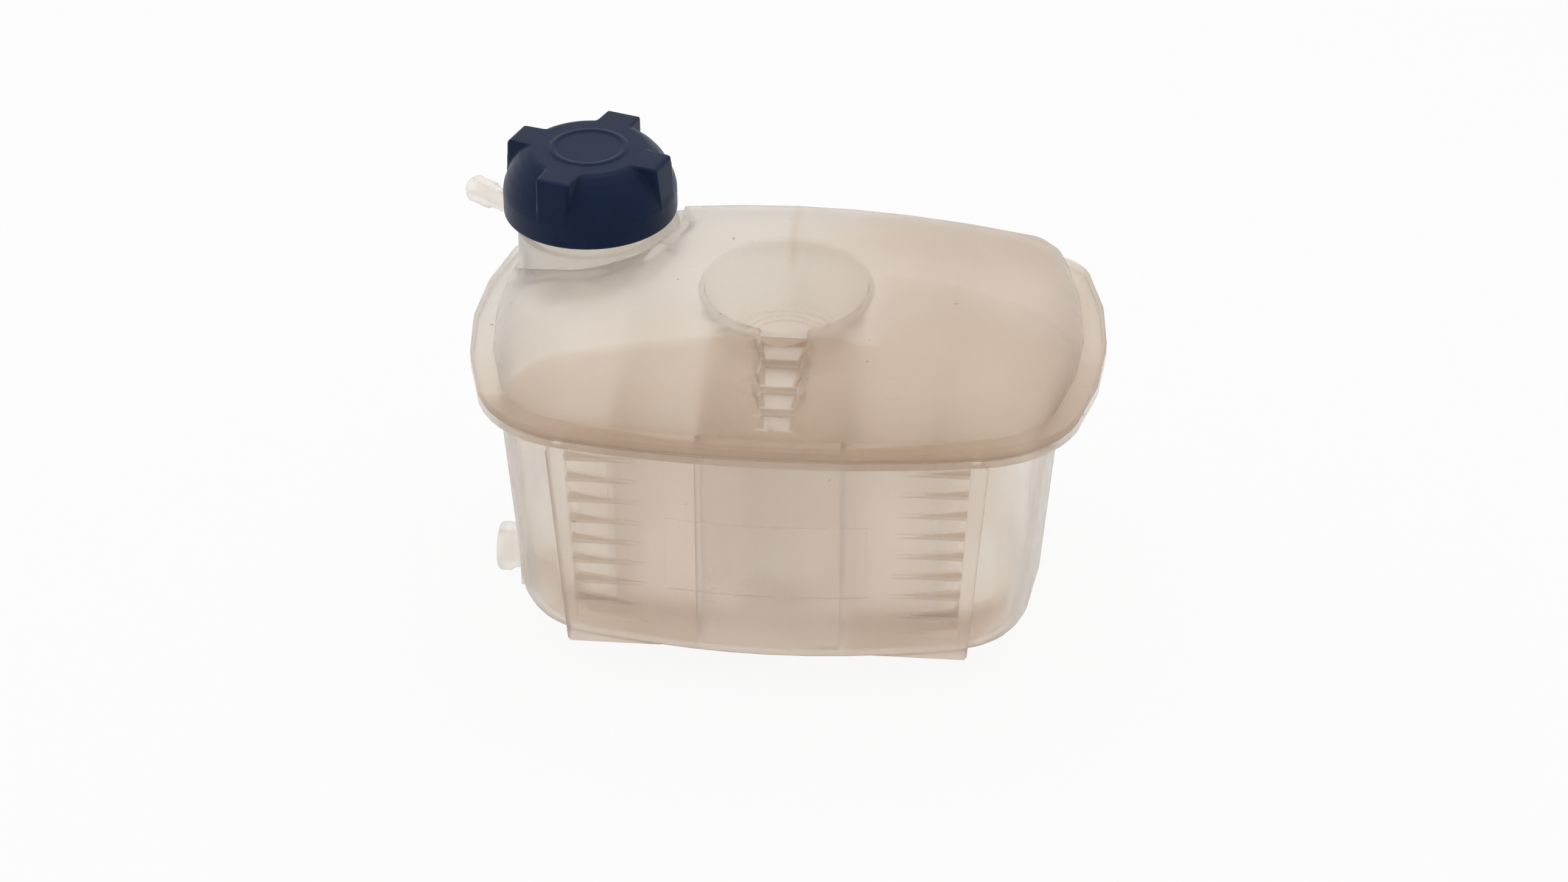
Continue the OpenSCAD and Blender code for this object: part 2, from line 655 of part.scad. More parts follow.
// One grip lobe along +X, cut to its side profile and its plan
module lobe() {
    w = lobe_w / 2;
    intersection() {
        rotate([90, 0, 0]) linear_extrude(lobe_w, center = true) polygon([
            [8, cap_skirt_h - 2], [cap_r - 0.2, cap_skirt_h - 1], [cap_r - 1.7, cap_h - 1.4],
            [cap_r - 2.1, cap_h - 0.5], [cap_r - 3, cap_h], [8, cap_h]]);
        linear_extrude(cap_h + 1) polygon([
            [0, -w], [cap_disc_r, -w], [cap_r - 2.6, 0.4 - w], [cap_r - 1, 1.1 - w],
            [cap_r, 2 - w], [cap_r, w - 2], [cap_r - 1, w - 1.1], [cap_r - 2.6, w - 0.4],
            [cap_disc_r, w], [0, w]]);
    }
}
module cap_shell() {
    shoulder = cap_h - cap_skirt_h;
    bead_z = neck_top_h - cap_rim_h - 1.4;
    press_z = neck_top_h + 2.3 - cap_rim_h;
    color(navy) at_neck(cap_rim_h) difference() {
        union() {
            rotate_extrude() polygon(concat(
                [[0, 0], [cap_r - 0.7, 0], [cap_r, 0.7]],
                [for (q = [0 : 15 : 90])
                    [cap_disc_r + (cap_r - cap_disc_r) * pow(cos(q), shoulder_power),
                        cap_skirt_h + shoulder * pow(sin(q), shoulder_power)]],
                [[0, cap_h]]));
            for (i = [0 : lobe_count - 1])
                rotate([0, 0, lobe_angle + 360 / lobe_count * i]) lobe();
            rotate_extrude() translate([cap_ring_r, cap_h - 0.5])
                square([1.6, cap_ring_h + 0.5]);
        }
        rotate_extrude() polygon([
            [0, -1], [cap_bore_r + 0.8, -1], [cap_bore_r, 0.8],
            [cap_bore_r, bead_z - 0.6], [housing_flange_r - 0.5, bead_z],
            [housing_flange_r - 0.5, bead_z + 0.7], [cap_bore_r, bead_z + 1.1],
            [cap_bore_r, press_z], [coil_r + 11, press_z],
            [coil_r + 9, cap_h - cap_top_t], [0, cap_h - cap_top_t]]);
    }
}

module valve_housing() {
    r = housing_r;
    ri = housing_r - housing_t;
    d = housing_depth;
    color(plastic) at_neck(neck_top_h) difference() {
        rotate_extrude() polygon([
            [seat_r, -d], [r - 1, -d], [r, 1 - d], [r, -5.6], [r - 1.2, -5.6],
            [r - 1.2, -3.2], [r, -3.2], [r, 0], [housing_flange_r, 0],
            [housing_flange_r, 1.6], [housing_flange_r - 0.4, 2], [ri, 2], [ri, 2 - d],
            [seat_r + 2.4, 2 - d], [seat_r + 1.6, seat_lip_h - d], [seat_r, seat_lip_h - d]]);
        for (i = [0 : 3]) rotate([0, 0, 45 + 90 * i])
            translate([ri - 1, -2.5, -2.6]) cube([housing_t + 2, 5, 1.8]);
    }
}

// A flat ring at height h of the neck's axis
module flat_ring(h, r0, r1, t) {
    at_neck(h) rotate_extrude() translate([r0, 0]) square([r1 - r0, t]);
}
module housing_seal() {
    color(rubber) at_neck(neck_top_h - 4.4) rotate_extrude()
        translate([housing_r - 1.2 + seal_wire_r, 0]) circle(seal_wire_r, $fn = 24);
}
module valve_retainer() {
    r = housing_r - housing_t - 0.05;
    color(plastic) difference() {
        flat_ring(retainer_h, head_r + 0.6, r, 1.4);
        for (i = [0 : 2]) at_neck(retainer_h - 1) rotate([0, 0, 120 * i])
            translate([coil_r + 3.4, -4, 0]) cube([3, 8, 4]);
    }
}
module pressure_plate() {
    color(steel) flat_ring(plate_h, stem_r + 1.1, plate_r, plate_t);
}
module plate_seal() {
    color(rubber) flat_ring(seat_h, head_r + 0.8, plate_r - 2, pad_t);
}
module vacuum_poppet() {
    color(brass) at_neck(seat_h - 1.2) {
        cylinder(h = 1.2, r = head_r);
        cylinder(h = clip_h - seat_h + 2.8, r = stem_r, $fn = 32);
    }
}
module poppet_seal() {
    color(rubber) flat_ring(seat_h, stem_r, head_r, pad_t);
}
module poppet_clip() {
    color(steel) flat_ring(clip_h, stem_r, head_r - 0.6, 1);
}

// A coil spring of round wire that stands at height h of the neck's axis
module coil(h, tall, r, wire, turns, sides) {
    per = 14;
    n = turns * per;
    at_neck(h) loft([for (i = [0 : n]) let (q = 360 * i / per)
        [for (k = [0 : sides - 1]) let (a = 360 * k / sides, rr = r + wire * cos(a))
            [rr * cos(q), rr * sin(q), wire + (tall - 2 * wire) * i / n - wire * sin(a)]]]);
}
module pressure_spring() {
    color(steel) coil(spring_foot_h, retainer_h - spring_foot_h, coil_r, wire_r, coil_turns, 6);
}
module vacuum_spring() {
    color(steel)
        coil(spring_foot_h, clip_h - spring_foot_h, fine_coil_r, fine_wire_r, 4, 5);
}

upper_shell();
lower_shell();
cap_shell();
valve_housing();
housing_seal();
valve_retainer();
pressure_plate();
plate_seal();
pressure_spring();
vacuum_poppet();
poppet_seal();
vacuum_spring();
poppet_clip();
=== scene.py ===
"""Looks of the coolant expansion tank: milky moulded plastic, weld bead, screw threads,
cap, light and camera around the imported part."""

import math

import bmesh
import bpy
from mathutils import Matrix, Vector
from mathutils.geometry import convex_hull_2d


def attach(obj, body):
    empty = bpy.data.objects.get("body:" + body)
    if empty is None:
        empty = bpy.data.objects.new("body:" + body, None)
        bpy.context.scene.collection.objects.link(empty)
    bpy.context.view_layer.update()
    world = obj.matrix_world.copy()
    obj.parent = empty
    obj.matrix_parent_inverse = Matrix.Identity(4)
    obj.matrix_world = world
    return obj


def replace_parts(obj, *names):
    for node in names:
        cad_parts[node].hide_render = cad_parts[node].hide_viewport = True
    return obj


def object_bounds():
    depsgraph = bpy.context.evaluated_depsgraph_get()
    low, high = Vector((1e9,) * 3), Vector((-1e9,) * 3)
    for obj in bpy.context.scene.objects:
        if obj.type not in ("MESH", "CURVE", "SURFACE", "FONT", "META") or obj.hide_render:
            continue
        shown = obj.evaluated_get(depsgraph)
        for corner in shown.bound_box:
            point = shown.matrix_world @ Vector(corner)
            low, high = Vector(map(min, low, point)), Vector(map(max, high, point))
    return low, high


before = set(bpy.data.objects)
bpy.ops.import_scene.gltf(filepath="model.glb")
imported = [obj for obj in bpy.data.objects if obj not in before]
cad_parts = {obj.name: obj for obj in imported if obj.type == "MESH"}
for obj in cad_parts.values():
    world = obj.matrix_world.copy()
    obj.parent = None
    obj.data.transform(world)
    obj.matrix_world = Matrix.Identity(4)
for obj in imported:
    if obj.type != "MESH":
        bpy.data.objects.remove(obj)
cad_box = [list(corner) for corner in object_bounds()]

# Places and sizes of the part, in metres
FLANGE_Z = 0.108
SEAM_Z = 0.10415
WELD_GAP = 0.00004
NECK = Vector((-0.078, 0.038, 0.0))
NECK_R = 0.0255
CAP_BORE_R = 0.0276
CAP_RIM_Z = 0.1393
THREAD_PITCH = 0.005
THREAD_STANDS_OFF = 0.0003
RIDGE_R = 0.0011
NECK_TURNS, CAP_TURNS = 3.0, 2.0
NECK_THREAD_Z = CAP_RIM_Z - 0.0005
CAP_THREAD_Z = CAP_RIM_Z + 0.0020
CAP_VOXEL = 0.00042
LIP_SLACK = 0.0002
BEAD_Z = 0.1037
BEAD_LIFT = 0.00045
BEAD_INSET = 0.0008
CHANNEL_X = 0.0018
CHANNEL_HALF_W = (0.0105, 0.0075)
CHAMBER_R = 0.0281
TREAD_LEVELS = (0.0206, 0.0164, 0.0116, 0.0074, 0.0032)
MOULD_RING = (0.0432, -0.0548, 0.1228)
MOULD_RING_R = 0.0045


def srgb(red, green, blue):
    """A colour given as 0 to 255 values, as the linear colour that a shader takes."""
    def linear(value):
        value /= 255
        return value / 12.92 if value <= 0.04045 else ((value + 0.055) / 1.055) ** 2.4
    return (linear(red), linear(green), linear(blue), 1.0)


# Materials


class Value:
    """A number socket of a finish. Arithmetic on it adds Math nodes."""

    def __init__(self, finish, socket):
        self.finish = finish
        self.socket = socket

    def __add__(self, other):
        return self.finish.maths("ADD", self, other)

    def __radd__(self, other):
        return self.finish.maths("ADD", other, self)

    def __sub__(self, other):
        return self.finish.maths("SUBTRACT", self, other)

    def __rsub__(self, other):
        return self.finish.maths("SUBTRACT", other, self)

    def __mul__(self, other):
        return self.finish.maths("MULTIPLY", self, other)

    def __rmul__(self, other):
        return self.finish.maths("MULTIPLY", other, self)

    def __abs__(self):
        return self.finish.maths("ABSOLUTE", self)


class Finish:
    """A material with one Principled shader, and the nodes that feed it."""

    def __init__(self, name, **sockets):
        self.material = bpy.data.materials.new(name)
        self.material.use_nodes = True
        self.tree = self.material.node_tree
        self.tree.nodes.clear()
        self.shader = self.node("ShaderNodeBsdfPrincipled", sockets={
            key.replace("_", " "): value for key, value in sockets.items()})
        self.node("ShaderNodeOutputMaterial",
                  sockets={"Surface": self.shader.outputs["BSDF"]})
        self.place = self.node("ShaderNodeTexCoord").outputs["Object"]
        split = self.node("ShaderNodeSeparateXYZ", sockets={0: self.place})
        self.x, self.y, self.z = (Value(self, socket) for socket in split.outputs)

    def node(self, kind, settings=None, sockets=None):
        node = self.tree.nodes.new(kind)
        for key, value in (settings or {}).items():
            setattr(node, key, value)
        self.feed(node, sockets or {})
        return node

    def feed(self, node, sockets):
        for key, value in sockets.items():
            value = getattr(value, "socket", value)
            if isinstance(value, bpy.types.NodeSocket):
                self.tree.links.new(value, node.inputs[key])
            else:
                node.inputs[key].default_value = value

    def maths(self, operation, *terms):
        node = self.node("ShaderNodeMath", {"operation": operation}, dict(enumerate(terms)))
        return Value(self, node.outputs[0])

    def band(self, value, none, full):
        """0 where value is at none, 1 where it is at full, smooth between."""
        node = self.node("ShaderNodeMapRange", {"interpolation_type": "SMOOTHSTEP"},
                         {"Value": value, "From Min": none, "From Max": full})
        return Value(self, node.outputs["Result"])

    def line(self, distance, half_width):
        """1 on a soft line, from the distance to its middle."""
        return self.band(abs(distance), half_width, 0.0)

    def noise(self, size, detail=2.0, roughness=0.5, stretch=(1.0, 1.0, 1.0)):
        """Noise of about 0 to 1 whose blotches are size metres wide."""
        mapping = self.node("ShaderNodeMapping", sockets={"Vector": self.place, "Scale": stretch})
        node = self.node("ShaderNodeTexNoise", sockets={
            "Vector": mapping.outputs[0], "Scale": 1 / size, "Detail": detail,
            "Roughness": roughness})
        return Value(self, node.outputs["Fac"])

    def distance_to(self, point):
        node = self.node("ShaderNodeVectorMath", {"operation": "DISTANCE"},
                         {0: self.place, 1: point})
        return Value(self, node.outputs["Value"])

    def facing_up(self):
        """1 where the surface faces up, 0 where it is upright."""
        normal = self.node("ShaderNodeNewGeometry").outputs["Normal"]
        split = self.node("ShaderNodeSeparateXYZ", sockets={0: normal})
        return Value(self, split.outputs["Z"])

    def blend(self, factor, first, second):
        """A colour between first and second."""
        node = self.node("ShaderNodeMix", {"data_type": "RGBA"},
                         {"Factor": factor, 6: first, 7: second})
        return node.outputs[2]

    def colour(self, socket):
        self.feed(self.shader, {"Base Color": socket})

    def roughness(self, value):
        self.feed(self.shader, {"Roughness": value})

    def relief(self, height, depth, strength=1.0):
        """Bump from a height of 0 to 1 that stands depth metres high."""
        bump = self.node("ShaderNodeBump", sockets={
            "Height": height, "Distance": depth, "Strength": strength})
        self.feed(self.shader, {"Normal": bump.outputs["Normal"]})


MILKY = srgb(254, 251, 247)
# The colour that the painted shade blends toward; the random cloud blends toward it too.
MILKY_SHADE = srgb(229, 214, 199)
FLECK = srgb(120, 92, 70)
COAT = 0.3
CLEARER_INSIDE = 0.55


def milky_plastic(name, painted_shade, inner_walls=None):
    """Natural moulded plastic. The second argument gives the painted shade and light of what shows
    through the wall from inside and of how light falls, and inner_walls gives 1 on the walls
    inside, which are thinner and clearer."""
    finish = Finish(name, IOR=1.12, Transmission_Weight=0.8, Coat_Weight=COAT,
                    Coat_Roughness=0.25, Coat_IOR=1.5)
    cloud = finish.noise(0.045, 3.0, 0.55)
    # Painted shade and light, plus a random cloud of tone in the plastic.
    shade = painted_shade(finish) + (cloud - 0.5) * 0.28
    flecks = finish.band(finish.noise(0.0035, 1.0), 0.79, 0.82)
    body = finish.blend(shade, MILKY, MILKY_SHADE)
    finish.colour(finish.blend(flecks * 0.55, body, FLECK))
    finish.roughness(0.56 + finish.noise(0.004, 3.0) * 0.12)
    ring = finish.line(finish.distance_to(MOULD_RING) - MOULD_RING_R, 0.0004)
    peel = finish.noise(0.0022, 2.0) * 0.6 + finish.noise(0.0006, 2.0) * 0.3
    crumple = finish.noise(0.0055, 4.0, 0.6) * finish.band(abs(finish.x), 0.088, 0.106)
    finish.relief(peel - ring + crumple * 6.0, 0.00012)
    if inner_walls:
        finish.feed(finish.shader, {"Alpha": 1.0 - inner_walls(finish) * CLEARER_INSIDE})
    return finish.material


def lip_shade(finish):
    """Painted shade on the doubled lips, which are thicker plastic, at the front."""
    return (finish.band(abs(finish.z - SEAM_Z), 0.0060, 0.0042)
            * finish.band(finish.y, -0.015, -0.065))


def upper_painted_shade(finish):
    """Painted shade of the walls below, seen through the upper shell: two zones that begin
    sharply at the webs' arcs, the back web, the chamber next to the channel, the risers of
    the steps and the lip, and painted shade toward the front and the right. The treads get
    a painted highlight and are glossier."""
    x, y, z = finish.x, finish.y, finish.z
    side = abs(x)
    wide, narrow = CHANNEL_HALF_W
    outside = finish.band(abs(x - CHANNEL_X), narrow, wide)
    # Painted shadows of the webs below, beginning sharply at their arcs.
    front_web_shadow = finish.band(y + 0.0305 + side * 0.16, 0.0015, -0.0025) * outside
    side_web_shadow = finish.band(y - 0.0165 + x * 0.205, 0.0015, -0.0025) * finish.band(x, 0.032, 0.040)
    # Painted shade over the chamber next to the channel.
    channel_side_shade = (finish.band(side, 0.028, 0.021) * outside
              * finish.band(y, -0.026, -0.036))
    # Painted shadow of the back web.
    back_web_shadow = finish.line(x, 0.0030) * finish.band(y, 0.024, 0.034)
    # Painted shade on the channel's risers and walls.
    channel = (finish.band(abs(x - CHANNEL_X), wide, narrow)
               * finish.band(y, -0.026, -0.032))
    # Painted highlight on the treads, which also get a real, glossier coat.
    at_levels = sum(finish.line(z - FLANGE_Z - level, 0.0009) for level in TREAD_LEVELS)
    treads = channel * at_levels * finish.band(finish.facing_up(), 0.55, 0.8)
    finish.feed(finish.shader, {"Coat Weight": COAT + treads * (1 - COAT)})
    # Painted shade toward the front and toward the right.
    front = finish.band(y, 0.030, -0.060)
    right = finish.band(x, -0.030, 0.070)
    return (0.08 + front_web_shadow * 0.42 + side_web_shadow * 0.14 + back_web_shadow * 0.3 + channel_side_shade * 0.35
            + channel * 0.6 - treads * 1.2 + front * 0.37 + right * 0.5
            + lip_shade(finish) * 0.1)


def lower_painted_shade(finish):
    """Painted light and shade on the tub: lighter over the round chamber and darker at the sump,
    both seen through the tub's front, darker toward the front and at the lips, and lighter ends.
    """
    x, y, z = finish.x, finish.y, finish.z
    # Painted light over the round chamber.
    chamber = (finish.band(abs(x - CHANNEL_X), CHAMBER_R + 0.002, CHAMBER_R - 0.003)
               * finish.band(y, 0.0, -0.03))
    # Painted shade toward the bottom and the front, and painted light at the ends.
    sump = finish.band(z, 0.030, 0.016)
    front = finish.band(y, 0.030, -0.050)
    ends = finish.band(abs(x), 0.075, 0.108)
    return (0.22 - chamber * 0.16 + sump * 0.17 + front * 0.35 - ends * 0.5
            + lip_shade(finish) * 0.25)


def webs_and_chamber(finish):
    """1 on the round chamber and the webs in the tub, 0 on its outer walls and floor."""
    return (finish.band(abs(finish.x), 0.096, 0.092) * finish.band(abs(finish.y), 0.064, 0.060)
            * finish.band(finish.z, 0.014, 0.018))


def cap_plastic():
    finish = Finish("navy_cap_plastic", IOR=1.46, Specular_IOR_Level=0.16, Sheen_Weight=0.3,
                    Sheen_Roughness=0.35)
    cloud = finish.noise(0.012, 3.0)
    grain = finish.noise(0.0007, 3.0, 0.7)
    finish.colour(finish.blend(cloud * 0.5 + grain * 0.3, srgb(8, 24, 50), srgb(16, 38, 71)))
    finish.roughness(0.42 + grain * 0.25)
    finish.relief(grain, 0.00010)
    return finish.material


def valve_plastic():
    finish = Finish("black_valve_plastic", IOR=1.5)
    grain = finish.noise(0.0009, 3.0)
    finish.colour(finish.blend(grain, srgb(30, 30, 32), srgb(48, 48, 51)))
    finish.roughness(0.36 + grain * 0.2)
    finish.relief(grain, 0.00005)
    return finish.material


def seal_rubber():
    finish = Finish("seal_rubber_black", IOR=1.52)
    grain = finish.noise(0.0006, 2.0)
    finish.colour(finish.blend(grain, srgb(22, 21, 20), srgb(40, 38, 36)))
    finish.roughness(0.6 + grain * 0.25)
    finish.relief(grain, 0.00004)
    return finish.material


def metal(name, dark, light, rough, turned):
    """Drawn or turned metal with fine lines along or round the part's upright."""
    finish = Finish(name, Metallic=1.0)
    lines = finish.noise(0.0012, 3.0, 0.6, (1.0, 1.0, 12.0) if turned else (6.0, 6.0, 1.0))
    finish.colour(finish.blend(lines, dark, light))
    finish.roughness(rough + lines * 0.2)
    finish.relief(lines, 0.00002)
    return finish.material


upper_milky = milky_plastic("milky_upper_shell", upper_painted_shade)
lower_milky = milky_plastic("milky_lower_shell", lower_painted_shade, webs_and_chamber)
navy = cap_plastic()
valve_black = valve_plastic()
rubber = seal_rubber()
steel = metal("bright_spring_steel", srgb(150, 151, 154), srgb(205, 206, 208), 0.22, False)
brass = metal("turned_brass", srgb(176, 138, 66), srgb(214, 178, 102), 0.2, True)

NODE_FINISH = {
    "upper_shell": upper_milky, "lower_shell": lower_milky, "cap_shell": navy,
    "valve_housing": valve_black, "valve_retainer": valve_black,
    "housing_seal": rubber, "plate_seal": rubber, "poppet_seal": rubber,
    "pressure_plate": steel, "pressure_spring": steel, "vacuum_spring": steel,
    "poppet_clip": steel, "vacuum_poppet": brass,
}
for node_name, material in NODE_FINISH.items():
    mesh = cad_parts[node_name].data
    mesh.materials.clear()
    mesh.materials.append(material)


# Smooth shells over the faceted solids


def show(mesh, name, material, body):
    """Adds a finished mesh as a piece that rides on a body."""
    mesh.materials.clear()
    mesh.materials.append(material)
    piece = bpy.data.objects.new(name, mesh)
    bpy.context.scene.collection.objects.link(piece)
    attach(piece, body)
    return piece


def applied(piece):
    """The mesh of a piece with its modifiers applied."""
    graph = bpy.context.evaluated_depsgraph_get()
    return bpy.data.meshes.new_from_object(piece.evaluated_get(graph))


def merged(node_name, flat_angle=0.4):
    """A copy of a node's mesh with its corners joined and flat faces made whole."""
    work = bmesh.new()
    work.from_mesh(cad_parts[node_name].data)
    bmesh.ops.remove_doubles(work, verts=work.verts, dist=3e-6)
    bmesh.ops.dissolve_degenerate(work, edges=work.edges, dist=2e-6)
    bmesh.ops.dissolve_limit(work, angle_limit=math.radians(flat_angle),
                             verts=work.verts, edges=work.edges)
    mesh = bpy.data.meshes.new(node_name + "_merged")
    work.to_mesh(mesh)
    work.free()
    return mesh


def smooth_shell(node_name, name, material, crease=32):
    mesh = merged(node_name)
    for corner in mesh.vertices:
        if abs(corner.co.z - SEAM_Z) < WELD_GAP / 2:
            corner.co.z += WELD_GAP if node_name == "upper_shell" else -WELD_GAP
    mesh.shade_smooth()
    mesh.set_sharp_from_angle(angle=math.radians(crease))
    holder = bpy.data.objects.new(name + "_work", mesh)
    bpy.context.scene.collection.objects.link(holder)
    weigh = holder.modifiers.new("weigh", "WEIGHTED_NORMAL")
    weigh.keep_sharp = True
    weigh.weight = 80
    done = applied(holder)
    bpy.data.objects.remove(holder)
    piece = show(done, name, material, "tank")
    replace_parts(piece, node_name)
    return piece


def rounded_cap():
    """The cap with the small radii of a moulding on all its edges."""
    holder = bpy.data.objects.new("cap_work", merged("cap_shell"))
    bpy.context.scene.collection.objects.link(holder)
    remesh = holder.modifiers.new("remesh", "REMESH")
    remesh.mode = "VOXEL"
    remesh.voxel_size = CAP_VOXEL
    soften = holder.modifiers.new("soften", "SMOOTH")
    soften.factor, soften.iterations = 0.5, 6
    thin = holder.modifiers.new("thin", "DECIMATE")
    thin.ratio = 0.3
    done = applied(holder)
    bpy.data.objects.remove(holder)
    for corner in done.vertices:
        corner.co.z = min(corner.co.z, cad_box[1][2])
    done.shade_smooth()
    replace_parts(show(done, "cap_moulding", navy, "cap"), "cap_shell")


def lip_outline(node_name, z, inset):
    """A closed edge loop along the lip's outline at height z, drawn in by inset."""
    corners = [corner.co.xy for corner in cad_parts[node_name].data.vertices
               if abs(corner.co.z - z) < LIP_SLACK]
    ring = [Vector(corners[i]) for i in convex_hull_2d(corners)]
    count = len(ring)
    points = []
    for i, here in enumerate(ring):
        along = ring[(i + 1) % count] - ring[i - 1]
        inward = Vector((-along.y, along.x)).normalized()
        points.append((*(here + inward * inset), z))
    mesh = bpy.data.meshes.new("lip_outline")
    mesh.from_pydata(points, [(i, (i + 1) % count) for i in range(count)], [])
    return mesh


smooth_shell("upper_shell", "upper_shell_skin", upper_milky)
smooth_shell("lower_shell", "lower_shell_skin", lower_milky)
rounded_cap()


# Geometry node trees for what follows a path


class Recipe:
    """A geometry node tree with named inputs, used as a modifier."""

    def __init__(self, name, takes_mesh=False):
        self.tree = bpy.data.node_groups.new(name, "GeometryNodeTree")
        self.keys = {}
        if takes_mesh:
            self.tree.interface.new_socket("Geometry", in_out="INPUT",
                                           socket_type="NodeSocketGeometry")
        self.tree.interface.new_socket("Geometry", in_out="OUTPUT",
                                       socket_type="NodeSocketGeometry")
        self.given = self.tree.nodes.new("NodeGroupInput")

    def size(self, name, start):
        """A named input of the tree."""
        item = self.tree.interface.new_socket(name, in_out="INPUT",
                                              socket_type="NodeSocketFloat")
        item.default_value = start
        self.keys[name] = item.identifier
        return self.given.outputs[name]

    def node(self, kind, settings=None, sockets=None):
        node = self.tree.nodes.new(kind)
        for key, value in (settings or {}).items():
            setattr(node, key, value)
        for key, value in (sockets or {}).items():
            if isinstance(value, bpy.types.NodeSocket):
                self.tree.links.new(value, node.inputs[key])
            else:
                node.inputs[key].default_value = value
        return node

    def end(self, geometry, material):
        whole = self.node("GeometryNodeRealizeInstances", sockets={"Geometry": geometry})
        painted = self.node("GeometryNodeSetMaterial", sockets={
            "Geometry": whole.outputs[0], "Material": material})
        out = self.tree.nodes.new("NodeGroupOutput")
        self.tree.links.new(painted.outputs[0], out.inputs[0])

    def make(self, values, start_mesh=None):
        """The mesh that the tree gives with these values of its inputs."""
        mesh = start_mesh or bpy.data.meshes.new("start")
        holder = bpy.data.objects.new("recipe_work", mesh)
        bpy.context.scene.collection.objects.link(holder)
        modifier = holder.modifiers.new("recipe", "NODES")
        modifier.node_group = self.tree
        for name, value in values.items():
            modifier[self.keys[name]] = value
        done = applied(holder)
        bpy.data.objects.remove(holder)
        return done


def thread_recipe(name, material):
    """A screw ridge: a round profile along a helix, thin at both ends."""
    recipe = Recipe(name)
    radius = recipe.size("Radius", 0.025)
    turns = recipe.size("Turns", 2.0)
    height = recipe.size("Height", 0.01)
    ridge = recipe.size("Ridge", 0.001)
    spiral = recipe.node("GeometryNodeCurveSpiral", sockets={
        "Resolution": 72, "Rotations": turns, "Start Radius": radius, "End Radius": radius,
        "Height": height, "Reverse": True})
    along = recipe.node("GeometryNodeSplineParameter")
    ends = recipe.node("ShaderNodeMath", {"operation": "PINGPONG"},
                       {0: along.outputs["Factor"], 1: 0.5})
    taper = recipe.node("ShaderNodeMapRange", {"interpolation_type": "SMOOTHSTEP"}, {
        "Value": ends.outputs[0], "From Max": 0.05, "To Min": 0.05})
    thick = recipe.node("ShaderNodeMath", {"operation": "MULTIPLY"},
                        {0: taper.outputs["Result"], 1: ridge})
    sized = recipe.node("GeometryNodeSetCurveRadius", sockets={
        "Curve": spiral.outputs[0], "Radius": thick.outputs[0]})
    profile = recipe.node("GeometryNodeCurvePrimitiveCircle", sockets={
        "Resolution": 10, "Radius": 1.0})
    swept = recipe.node("GeometryNodeCurveToMesh", sockets={
        "Curve": sized.outputs[0], "Profile Curve": profile.outputs[0],
        "Scale": thick.outputs[0], "Fill Caps": True})
    recipe.end(swept.outputs[0], material)
    return recipe


def bead_recipe(material):
    """A weld bead: a thin wavy round along an outline."""
    recipe = Recipe("weld_bead_round", takes_mesh=True)
    thick = recipe.size("Thickness", 0.001)
    step = recipe.size("Step", 0.002)
    wave = recipe.size("Wave", 0.0002)
    path = recipe.node("GeometryNodeMeshToCurve", sockets={
        "Mesh": recipe.given.outputs["Geometry"]})
    even = recipe.node("GeometryNodeResampleCurve", {"mode": "LENGTH"}, {
        "Curve": path.outputs[0], "Length": step})
    half = recipe.node("ShaderNodeMath", {"operation": "MULTIPLY"}, {0: thick, 1: 0.5})
    profile = recipe.node("GeometryNodeCurvePrimitiveCircle", sockets={
        "Resolution": 8, "Radius": half.outputs[0]})
    swept = recipe.node("GeometryNodeCurveToMesh", sockets={
        "Curve": even.outputs[0], "Profile Curve": profile.outputs[0]})
    ripple = recipe.node("ShaderNodeTexNoise", sockets={"Scale": 260.0, "Detail": 2.0})
    centred = recipe.node("ShaderNodeVectorMath", {"operation": "SUBTRACT"}, {
        0: ripple.outputs["Color"], 1: (0.5, 0.5, 0.5)})
    shift = recipe.node("ShaderNodeVectorMath", {"operation": "SCALE"}, {
        0: centred.outputs[0], "Scale": wave})
    moved = recipe.node("GeometryNodeSetPosition", sockets={
        "Geometry": swept.outputs[0], "Offset": shift.outputs[0]})
    recipe.end(moved.outputs[0], material)
    return recipe


def lifted(mesh, offset):
    mesh.transform(Matrix.Translation(offset))
    mesh.shade_smooth()
    return mesh


neck_thread = thread_recipe("neck_thread_ridge", upper_milky).make(
    {"Radius": NECK_R + THREAD_STANDS_OFF, "Turns": NECK_TURNS,
     "Height": NECK_TURNS * THREAD_PITCH, "Ridge": RIDGE_R})
show(lifted(neck_thread, NECK + Vector((0, 0, NECK_THREAD_Z))),
     "neck_thread", upper_milky, "tank")
cap_thread = thread_recipe("cap_thread_ridge", navy).make(
    {"Radius": CAP_BORE_R - THREAD_STANDS_OFF, "Turns": CAP_TURNS,
     "Height": CAP_TURNS * THREAD_PITCH, "Ridge": RIDGE_R})
show(lifted(cap_thread, NECK + Vector((0, 0, CAP_THREAD_Z))),
     "cap_thread", navy, "cap")
weld_bead = bead_recipe(lower_milky).make(
    {"Thickness": 0.0012, "Step": 0.0016, "Wave": 0.0003},
    lip_outline("lower_shell", BEAD_Z, BEAD_INSET))
show(lifted(weld_bead, Vector((0, 0, BEAD_LIFT))),
     "weld_bead", lower_milky, "tank")


# Camera, floor and light

VIEW_DOWN = math.radians(32.7844)
VIEW_TURN = math.radians(4.9852)
VIEW_DISTANCE = 1.24855
FOCUS = 5479.11
FRAME_W, FRAME_H = 2576, 1449
AIM = (0.0006091, -0.0378971)
CENTRE = (1289.39, 723.45)


